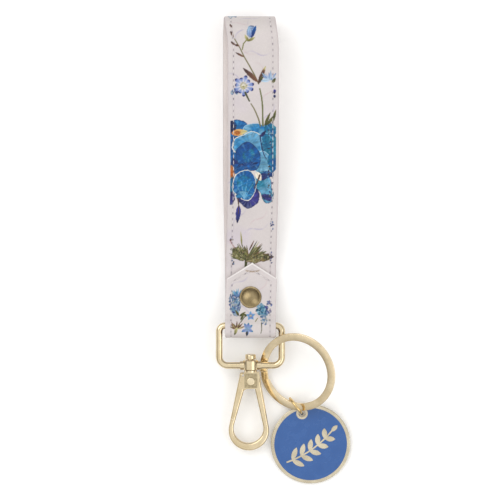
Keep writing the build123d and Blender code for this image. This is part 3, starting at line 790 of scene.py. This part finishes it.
def thistle(c, cy, side=1.0):
    """An olive seed head in two lobes with its bristles, and the small sprigs near it."""
    at, turned = mirrored(cy, side)
    tones = ((OLIVE, MOSS), (BROWN, OLIVE), (MOSS, YELLOW), (OLIVE, BROWN), (UMBER, OLIVE))
    c.stroke([at(-1.9, -2.8), at(-2.2, -6.2)], 1.3, MOSS, 1.1)
    for row in range(2):
        reach = 7.8 - 1.9 * row
        c.bristles(*at(-1.9, -2.6), 34, 17, reach, tones, 81 + row, -44 * side, 0.75)
        c.bristles(*at(-0.7, -3.0), 30, 19, reach * 1.2, tones, 91 + row, 60 * side, 0.75)
    c.blob(*at(-4.9, -0.2), 4.0, 2.5, OLIVE, (0.60, 0.58, 0.34), turned(-38), MOSS, 0.3, 83, 0.12)
    c.blob(*at(3.2, -2.3), 5.0, 2.1, (0.58, 0.50, 0.30), OLIVE, turned(8), UMBER, 0.3, 84, 0.12)
    c.petal(*at(6.0, -2.4), turned(10), 4.6, 1.7, MOSS, UMBER, 85)
    scales = ((YELLOW, OLIVE), (MOSS, UMBER), (OLIVE, YELLOW), (YELLOW, YELLOW), (BROWN, YELLOW))
    c.cluster(*at(-5.4, 0.4), 2.6, 2.4, 44, scales, 0.42, 86)
    c.cluster(*at(-3.0, -2.2), 1.5, 1.4, 14, scales, 0.4, 82)
    c.cluster(*at(2.0, -2.4), 3.0, 1.6, 34, scales, 0.42, 87)
    c.cluster(*at(5.6, -1.8), 2.6, 1.2, 24, scales, 0.4, 80)
    veins = ((118, 8.2), (131, 9.0), (144, 8.8), (104, 7.2), (52, 7.6), (38, 8.6), (26, 9.6), (14, 10.4))
    for lean, reach in veins:
        foot = at(-1.9, -3.4)
        a = math.radians(turned(lean))
        tip = (foot[0] + reach * math.cos(a), foot[1] + reach * math.sin(a))
        c.stroke([foot, tip], 0.16, MOSS, 0.3)
    c.petal(*at(-3.8, 3.0), turned(95), 7.0, 0.8, OLIVE, YELLOW, 88)
    c.petal(*at(-0.6, 1.2), turned(64), 5.2, 0.7, UMBER, BROWN, 89)
    c.stroke([at(-9.0, 5.6), at(-8.2, 4.0), at(-6.9, 2.2)], 0.5, (0.66, 0.50, 0.50), 0.3)
    c.cluster(*at(-8.6, 5.2), 0.8, 1.2, 5, ((BROWN, UMBER), (PERI, VIOLET)), 0.4, 90)
    c.cluster(*at(9.6, 11.6), 0.8, 2.6, 7, ((NAVY, PERI), (PERI, PALE)), 0.42, 91)
    c.cluster(*at(9.2, -2.0), 0.8, 2.4, 6, ((UMBER, PERI), (PERI, VIOLET)), 0.38, 92)
    c.cluster(*at(-8.4, -4.6), 0.9, 1.6, 5, ((PERI, PALE), (UMBER, INK)), 0.36, 93)


def tab_flowers(c, cy, side=1.0):
    """Small clusters either side of the rivet and a few sprigs below it."""
    at, turned = mirrored(cy, side)
    c.blob(*at(-6.9, 2.4), 2.2, 4.2, (0.70, 0.76, 0.84), (0.52, 0.62, 0.76), 0, None, 0.8, 100)
    c.blob(*at(5.0, -0.2), 2.0, 2.4, PALE, (0.40, 0.66, 0.78), 0, None, 0.8, 99)
    c.cluster(
        *at(-6.9, 3.2), 2.5, 4.9, 110,
        ((PERI, SKY), (NAVY, PERI), (PALE, CREAM), ((0.20, 0.42, 0.52), PERI), (PALE, SKY)), 0.48, 101,
    )
    c.bristles(*at(-5.8, 6.0), 40, 7, 4.2, ((TEAL, PALE), (PERI, SKY)), 102, 6, 0.6)
    teals = ((TEAL, SKY), (SKY, PALE), ((0.12, 0.32, 0.48), TEAL))
    c.cluster(*at(4.9, -0.2), 2.3, 2.8, 46, teals, 0.5, 103)
    c.cluster(*at(8.2, 1.2), 1.5, 3.0, 26, ((VIOLET, NAVY), (PERI, VIOLET), (PALE, PERI)), 0.5, 104)
    c.cluster(*at(6.9, -4.0), 2.2, 2.4, 20, ((PERI, PALE), (PALE, CREAM), (SKY, PERI)), 0.5, 105)
    for x, v, lean, size in (
        (-5.2, -2.6, 120, 3.0), (-5.0, -2.8, 35, 3.6), (-4.4, -4.4, 60, 3.0), (-1.4, -2.6, 160, 2.6)
    ):
        c.petal(*at(x, v), turned(lean), size, 1.1, MOSS, OLIVE, 106)
    c.stroke([at(-4.4, -5.4), at(-2.6, -3.0), at(-0.9, -2.2)], 0.4, MOSS, 0.3)
    for k, lean in enumerate((20, 92, 164, 236, 308)):
        c.petal(*at(0.1, -2.6), turned(lean), 2.1, 1.3, PERI, SKY, 107 + k)
    c.blob(*at(0.1, -2.6), 0.55, 0.5, YELLOW, CREAM, 0, None, 0.3, 112)
    browns = ((BROWN, OLIVE), (UMBER, BROWN), (YELLOW, BROWN))
    c.bristles(*at(-6.2, -8.4), 60, 9, 3.6, browns, 113, 0, 0.8)
    c.petal(*at(-5.9, -7.6), turned(250), 3.8, 1.4, YELLOW, OLIVE, 114, MOSS)
    for k, lean in enumerate((38, 78, 118, 205, 270, 335)):
        c.petal(*at(-1.4, -8.4), turned(lean), 2.9, 1.5, (0.55, 0.66, 0.78), PERI, 115 + k, TEAL)
    c.petal(*at(-1.5, -9.4), turned(-95), 2.2, 1.1, MOSS, INK, 121)
    c.stroke([at(4.9, -5.6), at(5.0, -8.6), at(4.6, -10.4)], 0.35, MOSS, 0.25)
    c.stroke([at(2.2, -5.0), at(3.2, -3.6)], 0.4, OLIVE, 0.3)


PRINT_HALF = 10.1
EDGE_SHADE_TONE = (0.80, 0.75, 0.76)
GROOVE_SHADE_TONE = (0.55, 0.50, 0.52)
HOLE_SHADE_TONE = (0.36, 0.33, 0.38)
UNDER_TONE = (0.84, 0.79, 0.79)


def clip_to_print(c, s, x, plain, hole_start):
    """Bare ground past the artwork, and painted shade: darker edges, a darker line along the seam and
    dark needle holes.
    """
    edge = from_edge(s, x)
    bare = smooth((STRAP_WIDTH / 2 - PRINT_HALF - edge) / 0.25 + 0.5)
    c.lay(bare, plain)
    # painted shade: the rounded edges of the band are darkened
    c.lay(smooth((0.75 - edge) / 0.8) * 0.55, EDGE_SHADE_TONE)
    # painted shade: a faint darker line along the pressed groove of the seam
    c.lay(np.exp(-(((edge - STITCH_INSET) / 0.34) ** 2)) * 0.16, GROOVE_SHADE_TONE)
    # painted shade: dark specks where the needle holes are
    beside = (s - hole_start + STITCH_PITCH / 2) % STITCH_PITCH - STITCH_PITCH / 2
    holes = np.exp(-((beside / 0.42) ** 2)) * np.exp(-(((edge - STITCH_INSET) / 0.2) ** 2))
    c.lay(holes * (0.35 + 0.6 * noise(s, x * 0.3, STITCH_PITCH, 60)), HOLE_SHADE_TONE)


FOLD_START_V = float(on_line(np.array([FOLD_START]))[0][0, 0]) - BAR_Y


def paint_front(points, s, x, under):
    """Colours of the front leg up to the top fold."""
    v = np.where(s > FOLD_START, FOLD_START_V + s - FOLD_START, points[:, 1] - BAR_Y)
    c = Canvas(points[:, 0], v)
    ground_strokes(c)
    plain = c.colour.copy()
    thistle(c, 32.4)
    pansy_block(c, 78.0)
    upper_flowers(c, 111.6)
    c.cluster(-8.0, 140.5, 1.9, 1.9, 9, ((BLUE, NAVY), (SKY, PALE)), 0.7, 130)
    clip_to_print(c, s, x, plain, FRONT_SEAM + HOLE_OFFSET)
    c.lay(under * 0.9, UNDER_TONE)
    return c.colour


def paint_back(points, s, x, under):
    """Colours of the back leg: the same sort of flowers, turned left for right and spaced out afresh."""
    c = Canvas(points[:, 0], s - FOLD_END)
    ground_strokes(c)
    plain = c.colour.copy()
    upper_flowers(c, 30.0, -1.0)
    pansy_block(c, 64.0, -1.0)
    thistle(c, 16.0, -1.0)
    upper_flowers(c, 112.0)
    clip_to_print(c, s, x, plain, FRONT_SEAM + HOLE_OFFSET)
    c.lay(under * 0.9, UNDER_TONE)
    return c.colour


def paint_tab(points, s, x, under):
    """Colours of the tab and the bottom fold."""
    c = Canvas(points[:, 0], points[:, 1] - BAR_Y)
    ground_strokes(c)
    plain = c.colour.copy()
    tab_flowers(c, 7.0)
    clip_to_print(c, s, x, plain, TAB_SEAM + HOLE_OFFSET)
    edge = from_edge(s, x)
    # painted highlight: a near-white line along the tab's edges, strongest along the slanted edges of
    # its point
    point_highlight_share = smooth((points[:, 1] - BAR_Y - TAB_SHOULDER + 1.0) / 1.5)
    c.lay(smooth((0.75 - edge) / 0.4) * (0.25 + 0.6 * point_highlight_share), (0.98, 0.965, 0.96))
    # painted shade: a darker brown line along the pressed crease
    c.lay(crease(s, x) * 0.85, (0.60, 0.51, 0.42))
    c.lay(under * 0.9, UNDER_TONE)
    return c.colour


# ---------------------------------------------------------------- the strap's layers and seams
FAR_EDGE = (TURNED_EDGE + 0.05) / (STRAP_WIDTH / 2)
FACE_FAR = [
    (1.0, FACE_T + CORE_T),
    (1 - FAR_EDGE, FACE_T + CORE_T),
    (1 - FAR_EDGE - 0.005, FACE_T),
    (0.4, FACE_T),
    (-0.4, FACE_T),
    (FAR_EDGE - 1 + 0.005, FACE_T),
    (FAR_EDGE - 1, FACE_T + CORE_T),
    (-1.0, FACE_T + CORE_T),
]


def plain_far(depth):
    return [(share, depth) for share in (1.0, 0.5, 0.0, -0.5, -1.0)]


def steps(low, high, size):
    """Even distances from low to high, about size apart."""
    return np.linspace(low, high, max(2, int(round((high - low) / size)) + 1))


HIDDEN_END = 22.0
front_rows = np.concatenate([steps(0.0, HIDDEN_END, 1.0)[:-1], steps(HIDDEN_END, FOLD_END, 0.2)])
back_rows = steps(FOLD_END, POCKET_START, 0.3)
tab_rows = steps(POCKET_START, STRAP_LENGTH, 0.2)
all_rows = steps(0.0, STRAP_LENGTH, 0.5)

for name, rows, cells, paint in (
    ("strap_print_front", front_rows, 108, paint_front),
    ("strap_print_back", back_rows, 76, paint_back),
    ("strap_print_tab", tab_rows, 108, paint_tab),
):
    piece = band_piece(name, print_leather, rows, 0.0, FACE_FAR, STRAP_WIDTH, cells, 1.0, 0.35, paint)
    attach(piece, "strap")
    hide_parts("strap_face")

piece = band_piece(
    "strap_inner_board", core_board, all_rows, FACE_T + 0.01, plain_far(FACE_T + CORE_T - 0.01),
    STRAP_WIDTH - 2 * TURNED_EDGE - 0.1, 8, 0.0,
)
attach(piece, "strap")
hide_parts("strap_core")

piece = band_piece(
    "strap_lining_band", lining_leather, all_rows, BAND_T, plain_far(FACE_T + CORE_T),
    STRAP_WIDTH - 0.3, 48, -1.0, 0.3,
)
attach(piece, "strap")
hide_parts("strap_lining")

THREAD_R = 0.17
THREAD_SIDES = 6
BACK_SEAM = 31.0
SEAM_PAST_FOLD = 8.0


def seam_path(side):
    """Distances along the band, and places across it, of one row of stitches up to the tab's point."""
    s = steps(0.0, STRAP_LENGTH, 0.1)
    up = on_line(s)[0][:, 0] - BAR_Y
    slanted = (TAB_APEX - up) * STRAP_WIDTH / 2 / (TAB_APEX - TAB_SHOULDER) - STITCH_INSET / POINT_SLOPE
    x = np.full(len(s), STRAP_WIDTH / 2 - STITCH_INSET)
    x = np.where(s > TAB_START, np.minimum(x, slanted), x)
    keep = x > 0
    return s[keep], side * x[keep]


def stitch_row(points, faces, side, low, high, depth, lift):
    """Adds one row of stitches between two distances along the band; lift is the shown side's sign."""
    s, x = seam_path(side)
    gone = np.concatenate([[0.0], np.cumsum(np.hypot(np.diff(s), np.diff(x)))])
    first = np.interp(low, s, gone)
    last = np.interp(high, s, gone)
    ways = np.array((0.0, 0.14, 0.5, 0.86, 1.0))
    sink = np.array((0.22, 0.04, 0.0, 0.04, 0.22)) * lift
    fat = np.array((0.45, 0.9, 1.0, 0.9, 0.45)) * THREAD_R
    for start in np.arange(first + SEAM_LEAD, last - STITCH_PITCH, STITCH_PITCH):
        at = start + ways * STITCH_PITCH * STITCH_SHARE
        ss = np.interp(at, gone, s)
        xx = np.interp(at, gone, x)
        middle = band_points(ss, xx, depth + sink)
        normal = on_line(ss)[1] * -lift
        out = np.stack([np.zeros(len(ss)), normal[:, 0], normal[:, 1]], axis=1)
        along = np.gradient(middle, axis=0)
        along /= np.linalg.norm(along, axis=1)[:, None]
        across = np.cross(along, out)
        base = len(points)
        for k in range(len(ways)):
            for j in range(THREAD_SIDES):
                a = 2 * math.pi * j / THREAD_SIDES
                points.append(middle[k] + fat[k] * (across[k] * math.cos(a) + out[k] * math.sin(a)))
        for face in grid_faces(len(ways), THREAD_SIDES):
            faces.append(tuple(base + corner for corner in face[::-1]))


stitch_points = []
stitch_faces = []
for side in (-1, 1):
    for low, high, depth, lift in (
        (FRONT_SEAM, float(STARTS[14]) + SEAM_PAST_FOLD, THREAD_R, 1.0),
        (TAB_SEAM, STRAP_LENGTH, THREAD_R, 1.0),
        (BACK_SEAM, float(STARTS[12]), BAND_T - THREAD_R, -1.0),
    ):
        stitch_row(stitch_points, stitch_faces, side, low, high, depth, lift)
piece = make_mesh("seam_stitches", stitch_points, stitch_faces, thread)
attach(piece, "strap")

# ---------------------------------------------------------------- split ring: two flat turns of one coil
RING_OUTER = 18.0
RING_INNER = 14.65
RING_T = 1.4
RING_CENTRE = np.array((20.9, BAR_Y - 20.6, 9.96))
RING_TILT = math.radians(28.5)
RING_RISE = math.radians(32.0)
RING_END = 62.0
RING_STEP = 14.0
ring_x = np.array((-math.sin(RING_RISE), math.cos(RING_RISE), 0.0))
ring_n = np.array(
    (
        -math.sin(RING_TILT) * math.cos(RING_RISE),
        -math.sin(RING_TILT) * math.sin(RING_RISE),
        math.cos(RING_TILT),
    )
)
ring_y = np.cross(ring_n, ring_x)


WIRE_EDGE_R = 0.16
WIRE_EDGE_STEPS = 3
TURN_GAP = 0.03


def ring_section():
    """Rounded outline of the flat wire, as (outward, up) from its middle."""
    half_w = (RING_OUTER - RING_INNER) / 2
    half_t = RING_T / 4 - TURN_GAP / 2
    r = WIRE_EDGE_R
    outline = []
    for cx, cy, start in ((1, 1, 0), (-1, 1, 90), (-1, -1, 180), (1, -1, 270)):
        for k in range(WIRE_EDGE_STEPS + 1):
            a = math.radians(start + 90 * k / WIRE_EDGE_STEPS)
            outline.append((cx * (half_w - r) + r * math.cos(a), cy * (half_t - r) + r * math.sin(a)))
    return np.array(outline)


section = ring_section()
turns = np.radians(np.arange(RING_END + RING_STEP, RING_END + 720.01, 1.0))
climb = smooth((np.degrees(turns) - RING_END - 360.0) / RING_STEP)
level = RING_T / 4 * (2 * climb - 1)
from_end = np.minimum(turns - turns[0], turns[-1] - turns) * RING_OUTER
ring_points = []
for angle, height, room in zip(turns, level, from_end):
    narrow = 1.0 - 0.22 * (1.0 - min(room / 0.8, 1.0)) ** 2
    thin = 1.0 - 0.35 * (1.0 - min(room / 1.6, 1.0)) ** 2
    for out, up in section:
        r = (RING_OUTER + RING_INNER) / 2 + out * narrow
        around = math.cos(angle) * ring_x + math.sin(angle) * ring_y
        ring_points.append(RING_CENTRE + r * around + (height + up * thin) * ring_n)
ring_faces = [face[::-1] for face in grid_faces(len(turns), len(section))]
piece = make_mesh("split_ring_coil", ring_points, ring_faces, ring_gold)
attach(piece, "split_ring")
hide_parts("split_ring")

# ---------------------------------------------------------------- floor and light
FLOOR_HALF = 3.0
FLOOR_DROP = 0.00005
floor_mesh = bpy.data.meshes.new("floor")
floor_mesh.from_pydata(
    [(x * FLOOR_HALF, y * FLOOR_HALF, -FLOOR_DROP) for x, y in ((-1, -1), (1, -1), (1, 1), (-1, 1))],
    [],
    [(0, 1, 2, 3)],
)
floor_material, floor_tree, floor_shader = new_material("floor_paper")
floor_noise = texture(floor_tree, "ShaderNodeTexNoise", 400.0, 3.0)
floor_tree.links.new(
    ramp(floor_tree, floor_noise.outputs["Fac"], (0.93, 0.93, 0.93), (0.96, 0.96, 0.96)),
    floor_shader.inputs["Base Color"],
)
floor_shader.inputs["Roughness"].default_value = 0.9
floor_shader.inputs["Emission Color"].default_value = (1.0, 1.0, 1.0, 1.0)
floor_shader.inputs["Emission Strength"].default_value = 0.1
floor_mesh.materials.append(floor_material)
floor = bpy.data.objects.new("floor", floor_mesh)
scene.collection.objects.link(floor)


def area_light(name, place, size, power):
    """A soft square light that faces the middle of the object."""
    data = bpy.data.lights.new(name, "AREA")
    data.size = size
    data.energy = power
    light = bpy.data.objects.new(name, data)
    light.location = place
    aim = np.array((VIEW_CENTRE[0] * MM, VIEW_CENTRE[1] * MM, 0.0)) - np.array(place)
    pitch = math.atan2(math.hypot(aim[0], aim[1]), -aim[2])
    light.rotation_euler = (pitch, 0.0, math.atan2(-aim[0], aim[1]))
    scene.collection.objects.link(light)


area_light("key", (-0.60, 0.45, 1.0), 1.0, 4.2)
area_light("fill", (0.8, -0.55, 1.0), 0.9, 2.5)

world = bpy.data.worlds.new("studio")
world.use_nodes = True
sky_tree = world.node_tree
sky_place = sky_tree.nodes.new("ShaderNodeTexCoord")
sky_split = sky_tree.nodes.new("ShaderNodeSeparateXYZ")
sky_tree.links.new(sky_place.outputs["Generated"], sky_split.inputs["Vector"])
SKY_LOW = (0.22, 0.20, 0.18)
SKY_HIGH = (1.0, 0.99, 0.97)
sky_colour = ramp(sky_tree, sky_split.outputs["Z"], SKY_LOW, SKY_HIGH, (0.18, 0.66))
sky_tree.links.new(sky_colour, sky_tree.nodes["Background"].inputs["Color"])
sky_tree.nodes["Background"].inputs["Strength"].default_value = 1.0
scene.world = world
scene.view_settings.view_transform = "Standard"
